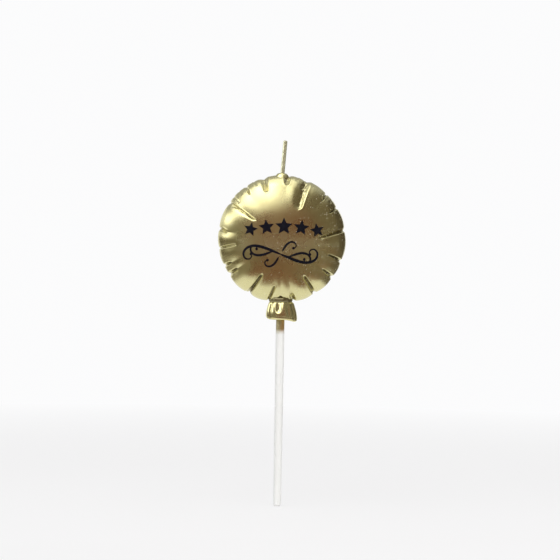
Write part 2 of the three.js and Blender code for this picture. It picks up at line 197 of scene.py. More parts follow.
# Printed scroll below the stars. Each pen stroke is drawn twice, the second time turned half round:
# start in millimetres from the middle, heading in degrees, length, how tightly it curls at its end
# and how late, and its fine and broad width. It ends in a round dot
SCROLL = Vector((-0.4, 0, 100.6)) * MM
SCROLL_STROKES_MM = (
    (0.0, 0.0, -22, 23.4, 0.96, 2.6, 0.34, 1.15),
    (3.1, -1.1, 22, 15.0, -1.21, 2.0, 0.32, 0.95),
    (0.7, 1.1, 62, 10.2, -1.25, 1.6, 0.3, 0.85),
)
SCROLL_DOT = 0.55 * MM
SCROLL_SWELL_POWER = 0.6
SCROLL_END_ROUND = 1.02
SCROLL_STEPS = 240
SCROLL_ROWS = 4
PRINT_SUNK = 0.06 * MM
PRINT_RAY_START = -50 * MM

# Ink: where it is worn thin, how much greyer it is there, its roughness and its faint shine
INK_WORN_SPAN = (0.45, 0.75)
INK_WORN_GREYER = 1.6
INK_ROUGHNESS = (0.42, 0.6)
INK_SHINE = 0.06

# Throat, where the balloon's underside is gathered into the neck: (radius, height) pairs of its
# outline, and how much of the neck's folds it takes on
THROAT_HALF_WIDTH = 5 * MM
THROAT_DEPTH_RATIO = 0.8
THROAT_FOLD_SHARE = 0.5
THROAT_OUTLINE_MM = (
    (0, 88.5), (2, 88), (3, 86.5), (3.1, 84.4), (3.3, 83.8), (3.8, 83.5), (4.4, 83.3),
    (4.8, 83), (4.9, 82.7), (4.8, 82.1), (4.6, 81.7), (4.4, 81.45), (0, 81.4),
)

# Seat of wax at the wick's foot: a low mound with a hollow in its crown, slightly uneven
SEAT_CENTRE = -0.3 * MM
SEAT_RADIUS = 3.2 * MM
SEAT_CROWN_RADIUS = 0.855 * MM
SEAT_DEPTH_RATIO = 0.8
SEAT_FOOT = 130.8 * MM
SEAT_TOP = 133.3 * MM
SEAT_FLARE_POWER = 1.3
SEAT_STEPS = 24
SEAT_SEGMENTS = 96
SEAT_UNEVEN = 0.06
SEAT_UNEVEN_SCALE = 420
SEAT_HOLLOW_RADIUS = 1.3 * MM
SEAT_HOLLOW_DEPTH = 0.3 * MM
SEAT_HOLLOW_FROM = SEAT_FOOT + 1 * MM

# Neck: flared from its top to its lip, flattened from front to back, with a tilted wavy lip
NECK_TOP = 81.4 * MM
NECK_LIP = 74.4 * MM
NECK_TOP_HALF_WIDTH = 5.1 * MM
NECK_LIP_HALF_WIDTH = 6.35 * MM
NECK_FLARE_END = 0.85
NECK_DEPTH_RATIO = 0.76
NECK_TOP_SHIFT = 0.25 * MM
NECK_LIP_SHIFT = 0.5 * MM
NECK_LIP_TILT = 0.075
NECK_LIP_WAVE = 0.2 * MM
NECK_LIP_WAVES = 3
NECK_LIP_PHASE = 0.9
NECK_WALL = 0.3 * MM
NECK_SEGMENTS = 288

# Section of the neck's outer skin: share of its half width, share of its height from the top, and
# rise in millimetres
NECK_SECTION_MM = (
    (0.62, 0, 0.25), (0.8, 0, 0.32), (0.9, 0, 0.25), (0.96, 0, 0.08), (0.99, 0.02, 0),
    *((1, 0.05 + 0.05 * step, 0) for step in range(16)),
    (0.995, 0.86, 0), (0.98, 0.91, 0), (0.955, 0.955, 0), (0.92, 0.985, 0), (0.88, 1, 0),
    (0.84, 1, 0.03), (0.8, 1, 0.15), (0.76, 1, 0.4), (0.68, 1, 0.75), (0.55, 1, 1.1),
)

# Folds down the neck: degrees from the front towards +X, half width in degrees, depth in millimetres,
# and how far below the top they run out
NECK_FOLDS_MM = (
    (-50, 9, 0.55, 8.5),
    (-12, 14.5, 0.85, 4.7),
    (27, 9, 0.35, 6.5),
    (55, 10, 0.45, 8.5),
    (98, 12, 0.5, 8.5),
    (140, 14, 0.7, 5.5),
    (176, 11, 0.45, 8.5),
    (214, 13, 0.6, 8.5),
    (262, 12, 0.5, 6.5),
)

# How narrow a fold is where it runs out, and from what share of its run it fades
FOLD_NARROWED = 0.45
FOLD_FADE_START = 0.6

# Stick: its small flat tip, the height where its taper ends, and the edge of its top in the wax
STICK_TIP_RADIUS = 1.55 * MM
STICK_TIP_FLAT = 0.6 * MM
STICK_TAPER_HEIGHT = 60 * MM
STICK_TOP_EDGE = 0.4 * MM
STICK_TIP_STEPS = 12
STICK_TAPER_STEPS = 24
STICK_SEGMENTS = 96

# White plastic of the stick
PLASTIC_ROUGHNESS = (0.32, 0.42)
PLASTIC_COAT = 0.15

# Lacquer that has run down the stick: heights where it ends and is full, how much its edge wobbles,
# where across the stick it turns darker, and how metallic it is
RUN_SPAN = (68.6 * MM, 71 * MM)
RUN_WOBBLE = 2.2 * MM
RUN_DARK_SPAN = (-0.2 * MM, 0.7 * MM)
RUN_METAL = 0.6

# Wick, which leans from its bend at the seat to its tip
WICK_BEND = Vector((-0.2, 0, 132)) * MM
WICK_TIP = Vector((0.8, 0, 146)) * MM

# Coat of the wick: its cut end in shares of its radius and millimetres from the tip, its unevenness,
# and how the plait below it swells it
COAT_START = -1 * MM
COAT_FOOT_SHARE = 0.55
COAT_STEPS = 72
COAT_SEGMENTS = 64
COAT_END_MM = ((1, -0.12), (0.94, -0.03), (0.86, 0), (0.74, -0.08), (0.7, -1.2), (0, -1.2))
COAT_UNEVEN = 0.04
COAT_UNEVEN_SCALE = 900
PLAIT_SWELL = 0.012
PLAIT_RISE = 0.62 * MM

# Braid in the coat's cut end: its radius as a share of the coat's, its strands' turns round each other,
# and how they fan out and end unevenly. They start as rods that stand a spacing apart
BRAID_SHARE = 0.66
BRAID_LENGTH = 2.2 * MM
BRAID_PROUD = 0.15 * MM
BRAID_STRANDS = 4
BRAID_TURNS = 0.9
BRAID_FAN = 0.25
BRAID_FAN_START = 0.85
BRAID_UNEVEN = 0.08 * MM
BRAID_RINGS = 24
BRAID_SIDES = 12
STRAND_SHARE = 0.42
STRAND_SPACING = 1 * MM

# Cotton: where its fibres are bare of wax, how dark they are below it, and their roughness
COTTON_BARE_SPAN = (0.35, 0.65)
COTTON_WAXED = 0.62
COTTON_ROUGHNESS = (0.55, 0.85)

# Stage: a floor that hides its own shadow more from near to far, and a backdrop whose ends are given
# in degrees clockwise from the back, seen from above
FLOOR_RADIUS = 4
FLOOR_SEGMENTS = 96
FLOOR_SEEN_SPAN = (0.05, 0.6)
FLOOR_SEEN_NEAR = 0.7
BACKDROP_RADIUS = 1.4
BACKDROP_SWEEP = 0.35
BACKDROP_HEIGHT = 0.8
BACKDROP_FOOT = 0.5 * MM
BACKDROP_RIGHT_END = 100
BACKDROP_LEFT_END = -120
BACKDROP_STEPS = 12
BACKDROP_SEGMENTS = 96

# Paper of the floor and the backdrop, and the dull cards, each a little darker in patches
PAPER_DARKER = 0.985
PAPER_ROUGHNESS = 0.8
PAPER_SHINE = 0.2
CARD_DARKER = 0.8
CARD_ROUGHNESS = 0.9

# Dim cards that only the gold mirrors: middle, size, lean about the Y axis and turn about the Z axis
# in degrees, and which colour they have
FLAGS = (
    ("front_flag", (0.312, -0.782, 0.004), (2.2, 1.5), 0, 16.7, "brown_flag"),
    ("right_front_flag", (0.67, -0.55, 0.005), (1.2, 0.92), 0, 4, "dark_flag"),
    ("right_flag", (0.46, 0.12, 0.006), (0.7, 0.42), 0, 0, "grey_flag"),
    ("side_flag", (0.5, 0.2, 0.3), (0.6, 0.7), 90, 0, "grey_flag"),
    ("left_flag", (-0.395, 0.02, 0.006), (0.52, 0.3), 0, 0, "pale_flag"),
    ("left_front_flag", (-0.87, -0.415, 0.005), (1.47, 0.63), 0, 0, "olive_flag"),
    ("left_side_flag", (-0.6, -0.2, 0.085), (0.17, 1.1), 90, 0, "olive_flag"),
)

# Lamps: roll clockwise from the top and tilt from the front in degrees, distance from the balloon,
# size, brightness in their middle, spread in degrees, and whether the gold mirrors them
LAMPS = (
    ("key_lamp", 334, 55, 0.5, (0.58, 0.42), 3.1, 80, True),
    ("top_lamp", 0, 80, 0.5, (0.5, 0.3), 1.4, 90, True),
    ("left_lamp", 290, 72, 0.5, (0.36, 0.18), 1.8, 90, True),
    ("fill_lamp", 60, 35, 0.7, (0.5, 0.5), 3.2, 180, False),
)

# Room round the stage: where its warm front and its pale back lie, and how far a direction faces them
# where they begin and are full
ROOM_FRONT_SIDE = (0, -1, 0)
ROOM_FRONT_SPAN = (0.78, 0.96)
ROOM_BACK_SIDE = (-0.1, 0.9, 0.5)
ROOM_BACK_SPAN = (-0.1, 0.5)

# Camera, straight in front of the candle
CAMERA_DISTANCE = 0.75
CAMERA_HEIGHT = 90.4 * MM
CAMERA_X = -0.4 * MM
CAMERA_ROLL = math.radians(1)
FRAME_WIDTH = 224 * MM
SENSOR_WIDTH = 36


# Shared formulas
def mix(low, high, share):
    return low + (high - low) * share


def smooth(value, low, high):
    share = min(max((value - low) / (high - low), 0), 1)
    return share * share * (3 - 2 * share)


def turn_between(degrees, other):
    return (degrees - other + 540) % 360 - 180


# Settings
class CandleShape(bpy.types.PropertyGroup):
    """Sizes that set how full and how gathered the candle is."""

    balloon_radius: FloatProperty(
        name="Balloon Radius", description="Radius of the balloon's outline before its lobes",
        default=25.1 * MM, min=0.01, unit="LENGTH")
    balloon_half_depth: FloatProperty(
        name="Balloon Half Depth", description="How far each face is puffed out",
        default=(BODY_HIGH.y - BODY_LOW.y) / 2, min=0.002, unit="LENGTH")
    lobe_bulge: FloatProperty(
        name="Lobe Bulge", description="Swell of the widest lobes between the pleats",
        default=0.6 * MM, min=0, unit="LENGTH")
    print_height: FloatProperty(
        name="Print Height", description="How proud the printed ornament stands",
        default=0.12 * MM, min=0, unit="LENGTH")
    stick_radius: FloatProperty(
        name="Stick Radius", description="Radius of the stick below the neck",
        default=1.7 * MM, min=0.0005, unit="LENGTH")
    coat_radius: FloatProperty(
        name="Wick Radius", description="Radius of the wick with its coat",
        default=0.85 * MM, min=0.0003, unit="LENGTH")


class CandleColours(bpy.types.PropertyGroup):
    """Colours of the candle and of its surroundings."""

    gold: FloatVectorProperty(
        name="Gold", description="Gold lacquer on the wax",
        default=(0.72, 0.67, 0.335), size=3, min=0, max=1, subtype="COLOR")
    deep_gold: FloatVectorProperty(
        name="Deep Gold", description="Gold lacquer where it has pooled",
        default=(0.64, 0.57, 0.24), size=3, min=0, max=1, subtype="COLOR")
    # Dark colour painted into the pleats' grooves as their shade
    crevice: FloatVectorProperty(
        name="Crevice", description="Gold lacquer deep in the pleats, where little of it reached",
        default=(0.17, 0.135, 0.075), size=3, min=0, max=1, subtype="COLOR")
    dust: FloatVectorProperty(
        name="Dust", description="Pale specks on the lacquer",
        default=(0.85, 0.80, 0.60), size=3, min=0, max=1, subtype="COLOR")
    # Darker gold painted into the gathers above the neck as the shade of that recess
    throat: FloatVectorProperty(
        name="Throat", description="Gold lacquer in the gathers above the neck",
        default=(0.36, 0.33, 0.17), size=3, min=0, max=1, subtype="COLOR")
    wick: FloatVectorProperty(
        name="Wick", description="Gold lacquer on the wick's wax coat",
        default=(0.72, 0.73, 0.48), size=3, min=0, max=1, subtype="COLOR")
    ink: FloatVectorProperty(
        name="Ink", description="Black of the printed ornament",
        default=(0.006, 0.006, 0.010), size=3, min=0, max=1, subtype="COLOR")
    stick: FloatVectorProperty(
        name="Stick", description="White plastic of the stick",
        default=(0.89, 0.91, 0.9), size=3, min=0, max=1, subtype="COLOR")
    lacquer_run: FloatVectorProperty(
        name="Lacquer Run", description="Gold lacquer that has run down the stick",
        default=(0.47, 0.41, 0.22), size=3, min=0, max=1, subtype="COLOR")
    dark_run: FloatVectorProperty(
        name="Dark Run", description="Browner side of the lacquer on the stick",
        default=(0.50, 0.33, 0.14), size=3, min=0, max=1, subtype="COLOR")
    cotton: FloatVectorProperty(
        name="Cotton", description="Braid at the cut end of the wick",
        default=(0.70, 0.64, 0.46), size=3, min=0, max=1, subtype="COLOR")
    floor: FloatVectorProperty(
        name="Floor", description="Pale floor and backdrop",
        default=(0.86, 0.86, 0.86), size=3, min=0, max=1, subtype="COLOR")
    background: FloatVectorProperty(
        name="Background", description="Near white of the backdrop as it is seen",
        default=(0.97, 0.97, 0.975), size=3, min=0, max=1, subtype="COLOR")
    brown_flag: FloatVectorProperty(
        name="Brown Flag", description="Brown of the dim card in front",
        default=(0.225, 0.103, 0.056), size=3, min=0, max=1, subtype="COLOR")
    grey_flag: FloatVectorProperty(
        name="Grey Flag", description="Grey of the dim cards on the right",
        default=(0.2, 0.17, 0.135), size=3, min=0, max=1, subtype="COLOR")
    dark_flag: FloatVectorProperty(
        name="Dark Flag", description="Grey of the dim card on the front right",
        default=(0.215, 0.165, 0.115), size=3, min=0, max=1, subtype="COLOR")
    olive_flag: FloatVectorProperty(
        name="Olive Flag", description="Grey of the dim cards on the front left",
        default=(0.34, 0.29, 0.2), size=3, min=0, max=1, subtype="COLOR")
    pale_flag: FloatVectorProperty(
        name="Pale Flag", description="Paler grey of the card on the left",
        default=(0.42, 0.38, 0.32), size=3, min=0, max=1, subtype="COLOR")
    room_front: FloatVectorProperty(
        name="Room Front", description="Dim warm room behind the camera",
        default=(0.17, 0.07, 0.043), size=3, min=0, max=1, subtype="COLOR")
    room_side: FloatVectorProperty(
        name="Room Side", description="Dim room to the sides of the camera",
        default=(0.165, 0.135, 0.10), size=3, min=0, max=1, subtype="COLOR")
    room_back: FloatVectorProperty(
        name="Room Back", description="Pale room above and behind the candle",
        default=(0.46, 0.46, 0.48), size=3, min=0, max=1, subtype="COLOR")


def shape():
    return bpy.context.scene.candle_shape


def colours():
    return bpy.context.scene.candle_colours


# Mesh helpers
def new_object(skin, name, material):
    """Makes the bmesh a smooth object at the origin."""
    mesh = bpy.data.meshes.new(name)
    skin.to_mesh(mesh)
    skin.free()
    mesh.shade_smooth()
    mesh.materials.append(material)
    made = bpy.data.objects.new(name, mesh)
    bpy.context.scene.collection.objects.link(made)
    return made


def finished(skin, name, material, node=None):
    """Makes a piece of the candle, which may stand in for a solid with a material slot."""
    piece = new_object(skin, name, material)
    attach(piece, "root")
    if node:
        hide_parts(node)
    return piece


def stage_object(skin, name, material):
    made = new_object(skin, name, material)
    return made


def spun(profile, segments, start=0, sweep=math.tau):
    """Turned skin on the Z axis from (radius, height) pairs, closed where it goes all the way round."""
    skin = bmesh.new()
    verts = [skin.verts.new((radius * math.cos(start), radius * math.sin(start), height))
             for radius, height in profile]
    edges = [skin.edges.new(pair) for pair in zip(verts, verts[1:])]
    whole = sweep == math.tau
    bmesh.ops.spin(
        skin, geom=verts + edges, cent=(0, 0, 0), axis=(0, 0, 1), dvec=(0, 0, 0),
        angle=sweep, steps=segments, use_merge=whole, use_duplicate=False)
    if whole:
        bmesh.ops.remove_doubles(skin, verts=skin.verts, dist=MERGE_DISTANCE)
        bmesh.ops.recalc_face_normals(skin, faces=skin.faces)
    return skin


def along_wick(skin, start):
    """Moves a skin that stands on the Z axis onto the wick's lean, from a distance past the bend."""
    lean = (WICK_TIP - WICK_BEND).normalized()
    turn = Vector((0, 0, 1)).rotation_difference(lean).to_matrix().to_4x4()
    place = Matrix.Translation(WICK_BEND + lean * start) @ turn
    bmesh.ops.transform(skin, matrix=place, verts=skin.verts)


# Materials
def new_group(name, inputs, outputs):
    group = bpy.data.node_groups.new(name, "ShaderNodeTree")
    for label, kind, default in inputs:
        socket = group.interface.new_socket(label, in_out="INPUT", socket_type=kind)
        socket.default_value = default
    for label, kind in outputs:
        group.interface.new_socket(label, in_out="OUTPUT", socket_type=kind)
    return group


def add(tree, kind, **values):
    node = tree.nodes.new(kind)
    for name, value in values.items():
        setattr(node, name, value)
    return node


def feed(tree, value, socket):
    """Links another node's output to a socket, or sets the socket to a plain value or colour."""
    if isinstance(value, bpy.types.NodeSocket):
        tree.links.new(value, socket)
    elif socket.type == "RGBA":
        socket.default_value = (*value, 1)
    else:
        socket.default_value = value


def math_node(tree, operation, first, second):
    node = add(tree, "ShaderNodeMath", operation=operation)
    for socket, value in zip(node.inputs, (first, second)):
        feed(tree, value, socket)
    return node.outputs[0]


def noise_node(tree, vector, scale, detail=2.0, roughness=0.5):
    node = add(tree, "ShaderNodeTexNoise")
    for label, value in (("Vector", vector), ("Scale", scale), ("Detail", detail),
                         ("Roughness", roughness)):
        feed(tree, value, node.inputs[label])
    return node.outputs["Fac"]


def grain_group():
    """Fine grain of the lacquer: a height, and a mask that varies the gloss."""
    group = new_group(
        "Lacquer Grain",
        [("Vector", "NodeSocketVector", (0, 0, 0)), ("Grain Scale", "NodeSocketFloat", 1700.0),
         ("Ripple Scale", "NodeSocketFloat", 160.0), ("Ripple", "NodeSocketFloat", 0.5)],
        [("Height", "NodeSocketFloat"), ("Mottle", "NodeSocketFloat")])
    source = add(group, "NodeGroupInput")
    sink = add(group, "NodeGroupOutput")
    vector = source.outputs["Vector"]
    fine = noise_node(group, vector, source.outputs["Grain Scale"], detail=3.0, roughness=0.6)
    ripple = noise_node(group, vector, source.outputs["Ripple Scale"])
    rippled = math_node(group, "MULTIPLY", ripple, source.outputs["Ripple"])
    group.links.new(math_node(group, "ADD", fine, rippled), sink.inputs["Height"])
    group.links.new(ripple, sink.inputs["Mottle"])
    return group


def speck_group():
    """Sparse pale specks of dust, more of them where the cover is higher."""
    group = new_group(
        "Dust Specks",
        [("Vector", "NodeSocketVector", (0, 0, 0)), ("Speck Scale", "NodeSocketFloat", 1250.0),
         ("Size", "NodeSocketFloat", 0.17), ("Cover", "NodeSocketFloat", 0.1)],
        [("Mask", "NodeSocketFloat")])
    source = add(group, "NodeGroupInput")
    sink = add(group, "NodeGroupOutput")
    cells = add(group, "ShaderNodeTexVoronoi")
    group.links.new(source.outputs["Vector"], cells.inputs["Vector"])
    group.links.new(source.outputs["Speck Scale"], cells.inputs["Scale"])
    dots = math_node(group, "LESS_THAN", cells.outputs["Distance"], source.outputs["Size"])
    chosen = add(group, "ShaderNodeSeparateColor")
    group.links.new(cells.outputs["Color"], chosen.inputs[0])
    covered = math_node(group, "LESS_THAN", chosen.outputs[0], source.outputs["Cover"])
    group.links.new(math_node(group, "MULTIPLY", dots, covered), sink.inputs["Mask"])
    return group


def shared_group(name, maker):
    return bpy.data.node_groups.get(name) or maker()


def new_material(name):
    material = bpy.data.materials.new(name)
    material.use_nodes = True
    shader = material.node_tree.nodes["Principled BSDF"]
    place = add(material.node_tree, "ShaderNodeTexCoord")
    return material, material.node_tree, shader, place.outputs["Object"]


def blended(tree, mask, under, over):
    """One colour over another by a mask. Each is plain or comes from another node."""
    node = add(tree, "ShaderNodeMix", data_type="RGBA")
    for label, value in (("Factor", mask), ("A", under), ("B", over)):
        feed(tree, value, node.inputs[label])
    return node.outputs["Result"]


def ramp(tree, value, span, result=(0, 1), interpolation="LINEAR"):
    """Turns a span of values into a range of results."""
    node = add(tree, "ShaderNodeMapRange", interpolation_type=interpolation)
    tree.links.new(value, node.inputs["Value"])
    for label, number in zip(("From Min", "From Max", "To Min", "To Max"), (*span, *result)):
        node.inputs[label].default_value = number
    return node.outputs["Result"]


def toward(tree, direction, side):
    """How far a direction or a place lies towards a side."""
    node = add(tree, "ShaderNodeVectorMath", operation="DOT_PRODUCT")
    tree.links.new(direction, node.inputs[0])
    node.inputs[1].default_value = side
    return node.outputs["Value"]


def scaled(colour, factor):
    return [value * factor for value in colour]


def dress(tree, shader, looks):
    """Feeds the shader's inputs by their names."""
    for label, value in looks.items():
        feed(tree, value, shader.inputs[label])


def bumped(tree, height, shader, strength, distance):
    node = add(tree, "ShaderNodeBump")
    for label, value in (("Strength", strength), ("Distance", distance), ("Height", height)):
        feed(tree, value, node.inputs[label])
    tree.links.new(node.outputs["Normal"], shader.inputs["Normal"])


def gold_material(name, roughness, spread, grain, dusting, gold=None, painted_crevice_shading=False, metal=1):
    """Gold lacquer: metal under a fine grain, deeper where it has pooled, with painted shade in the
    folds.
    """
    material, tree, shader, place = new_material(name)
    grains = add(tree, "ShaderNodeGroup", node_tree=shared_group("Lacquer Grain", grain_group))
    tree.links.new(place, grains.inputs["Vector"])
    mottle = grains.outputs["Mottle"]
    pooled = ramp(tree, mottle, POOLED_SPAN, (0, POOLED_MOST))
    colour = blended(tree, pooled, gold or colours().gold, gold or colours().deep_gold)
    # Painted shade in the pleats, by the amount that each point of the mesh holds
    if painted_crevice_shading:
        folded = add(tree, "ShaderNodeAttribute", attribute_name="crevice")
        depth = ramp(tree, folded.outputs["Fac"], CREVICE_SPAN, (0, CREVICE_SHARE))
        colour = blended(tree, depth, colour, colours().crevice)
    dust = add(tree, "ShaderNodeGroup", node_tree=shared_group("Dust Specks", speck_group))
    tree.links.new(place, dust.inputs["Vector"])
    settled = toward(tree, place, DUST_SIDE)
    cover = ramp(tree, settled, DUST_SPAN, (DUST_LEAST * dusting, dusting))
    tree.links.new(cover, dust.inputs["Cover"])
    dusty = dust.outputs["Mask"]
    hidden = math_node(tree, "MULTIPLY", dusty, DUST_HIDES)
    roughened = math_node(tree, "MULTIPLY", dusty, DUST_ROUGHENS)
    uneven = ramp(tree, mottle, NOISE_SPAN, (roughness - spread, roughness + spread))
    dress(tree, shader, {
        "Base Color": blended(tree, dusty, colour, colours().dust),
        "Metallic": math_node(tree, "SUBTRACT", metal, hidden),
        "Roughness": math_node(tree, "ADD", uneven, roughened),
        "Coat Weight": LACQUER_COAT,
        "Coat Roughness": LACQUER_COAT_ROUGHNESS,
    })
    bumped(tree, grains.outputs["Height"], shader, grain, GRAIN_HEIGHT)
    return material


# Balloon
def groove(away):
    """Depth share across a pleat: a V with a rounded bottom and shoulders."""
    flank = 1 - (math.hypot(away, GROOVE_BOTTOM) - GROOVE_BOTTOM) / GROOVE_SPREAD
    if flank < -GROOVE_SHOULDER:
        return 0
    if flank < GROOVE_SHOULDER:
        return (flank + GROOVE_SHOULDER) ** 2 / (4 * GROOVE_SHOULDER)
    return flank


class Pleat:
    """A gathered pleat as a line on the balloon's face, from the rim to its inner end."""

    def __init__(self, values, reach):
        self.angle, _, drift, width, wide, depth, taper = values
        self.reach = reach * MM
        self.drift = drift * MM
        self.width = width * MM
        self.wide = wide * MM
        self.depth = depth * MM
        self.evenness = width / wide
        self.flare = mix(1, RIM_FLARE, taper)
        self.tip = mix(1, TIP_NARROW, taper)
        self.wide_tip = mix(1, mix(WIDE_TIP_NARROW, TIP_NARROW, self.evenness), taper)
        self.rim = shape().balloon_radius
        out = Vector((math.sin(math.radians(self.angle)), math.cos(math.radians(self.angle))))
        clockwise = Vector((out.y, -out.x))
        self.start = out * self.rim
        line = clockwise * self.drift - out * self.reach
        self.length = line.length
        self.along = line.normalized()

    def drifted(self, radius):
        """Angle of the pleat's line at a radius inside the rim."""
        inside = min(max(self.rim - radius, 0), self.reach)
        held = max(radius, self.rim - self.reach)
        return self.angle + math.degrees(self.drift * inside / self.reach / held)

    def press(self, x, z):
        """How deep the pleat presses the skin in at a point of the face, less its raised lip.

        The second value is how much of that depth is shaded, more where the flank is narrow."""
        dx = x - self.start.x
        dz = z - self.start.y
        along = dx * self.along.x + dz * self.along.y
        across = dx * self.along.y - dz * self.along.x
        if abs(across) > PLEAT_REACH * self.wide or along > self.length + PLEAT_REACH * self.width:
            return 0, 0
        share = min(max(along / self.length, 0), 1)
        if across > 0:
            half = self.wide * mix(self.flare, self.wide_tip, share)
        else:
            half = self.width * mix(self.flare, self.tip, share)
        end = mix(self.width, self.wide, smooth(across, 0, self.wide)) * self.tip
        beyond = max(0, along - (self.length - end))
        away = math.hypot(across / half, beyond / end)
        fade = 1 + WIDE_FADE * (1 - self.evenness) if across > 0 else 1
        eased = mix(RIM_EASE, 1, smooth(along, 0, RIM_EASE_REACH))
        crumple = CRUMPLE * min(self.wide / self.width, CRUMPLE_MOST)
        uneven = 1 + crumple * noise.noise(Vector((x, 0, z)) / CRUMPLE_SIZE)
        strength = self.depth * uneven * eased * mix(1, TIP_EASE, share)
        lip = LIP_HEIGHT * math.exp(-((away - LIP_AT) / LIP_WIDTH) ** 2)
        if across > 0:
            lip *= self.evenness ** 2
        pressed = strength * groove(away) ** fade
        flank = self.wide if across > 0 else self.width
        # Share of the depth that is painted as shade
        shaded = min(pressed, CREVICE_DEPTH) * min(CREVICE_WIDTH / flank, CREVICE_MOST)
        return pressed - lip * eased, shaded


def pleats(front):
    count = len(PLEATS_MM)
    made = []
    for index, values in enumerate(PLEATS_MM):
        other = PLEATS_MM[(index + BACK_REACH_SHIFT) % count]
        made.append(Pleat(values, values[1] if front else other[1]))
    return made


def creases():
    return [Pleat(values, values[1]) for values in CREASES_MM]


def lobe_swell(degrees, radius, spread, lines):
    """Swell of the lobe that a direction lies in, full at the rim and gone further in."""
    if spread < LOBE_START:
        return 0
    count = len(lines)
    for index, line in enumerate(lines):
        here = line.drifted(radius)
        gap = (lines[(index + 1) % count].drifted(radius) - here) % 360
        past = (degrees - here) % 360
        if past <= gap:
            rim_gap = (lines[(index + 1) % count].angle - line.angle) % 360
            lower = 1 - LOBE_LOW * math.cos(math.radians(degrees))
            fullness = shape().lobe_bulge * lower * min(rim_gap / LOBE_FULL_GAP, 1)
            grown = smooth(spread, LOBE_START, 1)
            bow = math.sin(math.pi * past / gap) ** mix(LOBE_INNER_POWER, LOBE_POWER, grown)
            return fullness * bow * grown
    return 0


def face_point(degrees, spread, front, lines, fine_lines):
    """Point of the balloon's skin: a superellipse section, moved along its own normal."""
    radius = shape().balloon_radius * spread
    depth = shape().balloon_half_depth
    height = max(1 - spread ** EDGE_POWER, 0) ** CROWN_POWER
    normal = Vector((
        EDGE_POWER * spread ** (EDGE_POWER - 1) / shape().balloon_radius,
        height ** (1 / CROWN_POWER - 1) / CROWN_POWER / depth))
    normal.normalize()
    east = math.sin(math.radians(degrees))
    north = math.cos(math.radians(degrees))
    pressed = 0
    # Painted shade that the pleats lay at this point
    crevice = 0
    for line in lines + fine_lines:
        deep, shaded = line.press(radius * east, radius * north)
        pressed += deep
        crevice += shaded
    lift = lobe_swell(degrees, radius, spread, lines) - pressed
    out = radius + normal.x * lift
    proud = depth * height + normal.y * lift
    return Vector((out * east, -proud if front else proud, out * north)) + BALLOON_CENTRE, crevice


def ring_turns(radius, lines):
    """Directions of a ring's points in degrees, set closer together where pleats cross the ring."""
    weights = [1.0] * TURN_BINS
    for line in lines:
        inner = line.rim - line.reach
        reached = smooth(radius, inner - CLOSE_START, inner)
        if not reached:
            continue
        middle = line.drifted(radius) / 360 * TURN_BINS
        per_bin = radius * math.tau / TURN_BINS / CLOSE_REACH
        span = round(CLOSE_SPAN / per_bin)
        for index in range(round(middle) - span, round(middle) + span + 1):
            near = math.exp(-((index - middle) * per_bin) ** 2)
            weights[index % TURN_BINS] += (CLOSE_SPACING - 1) * reached * near
    per_point = sum(weights) / BALLOON_SEGMENTS
    turns = []
    passed = 0
    for index, weight in enumerate(weights):
        while len(turns) < BALLOON_SEGMENTS and len(turns) * per_point < passed + weight:
            turns.append((index + (len(turns) * per_point - passed) / weight) * 360 / TURN_BINS)
        passed += weight
    return turns


def balloon_skin():
    skin = bmesh.new()
    # Layer for the painted shade that the pleats lay at each point
    painted_crevice_shading = skin.verts.layers.float.new("crevice")
    poles_along_y = Matrix.Rotation(math.pi / 2, 4, "X")
    bmesh.ops.create_uvsphere(
        skin, u_segments=BALLOON_SEGMENTS, v_segments=BALLOON_RINGS, radius=1, matrix=poles_along_y)
    lines = {True: pleats(True), False: pleats(False)}
    fine_lines = creases()
    rings = {}
    for vert in skin.verts:
        front = vert.co.y < 0
        spread = min(math.hypot(vert.co.x, vert.co.z), 1)
        if abs(vert.co.y) < ON_RIM:
            spread = 1
            front = True
        turned = math.atan2(vert.co.x, vert.co.z) / math.tau
        column = round(turned * BALLOON_SEGMENTS) % BALLOON_SEGMENTS
        ring = (front, round(spread, 5))
        if ring not in rings:
            rings[ring] = ring_turns(shape().balloon_radius * spread, lines[front])
        vert.co, crevice = face_point(rings[ring][column], spread, front, lines[front], fine_lines)
        vert[painted_crevice_shading] = crevice / MM
    bmesh.ops.recalc_face_normals(skin, faces=skin.faces)
    return skin


def seat_skin():
    """Low mound of wax that the wick comes out of, with a slight hollow round the wick's foot."""
    profile = [(0, SEAT_FOOT), (SEAT_RADIUS, SEAT_FOOT)]
    for step in range(1, SEAT_STEPS + 1):
        share = step / SEAT_STEPS
        profile.append((
            mix(SEAT_RADIUS, SEAT_CROWN_RADIUS, share ** SEAT_FLARE_POWER),
            mix(SEAT_FOOT, SEAT_TOP, math.sin(share * math.pi / 2))))
    profile.append((0, SEAT_TOP))
    skin = spun(profile, SEAT_SEGMENTS)
    for vert in skin.verts:
        uneven = 1 + SEAT_UNEVEN * noise.noise(vert.co * SEAT_UNEVEN_SCALE)
        vert.co.x = vert.co.x * uneven + SEAT_CENTRE
        vert.co.y *= uneven * SEAT_DEPTH_RATIO
        away = math.hypot(vert.co.x - WICK_BEND.x, vert.co.y) / SEAT_HOLLOW_RADIUS
        if vert.co.z > SEAT_HOLLOW_FROM:
            vert.co.z -= SEAT_HOLLOW_DEPTH * math.exp(-away * away)
    return skin


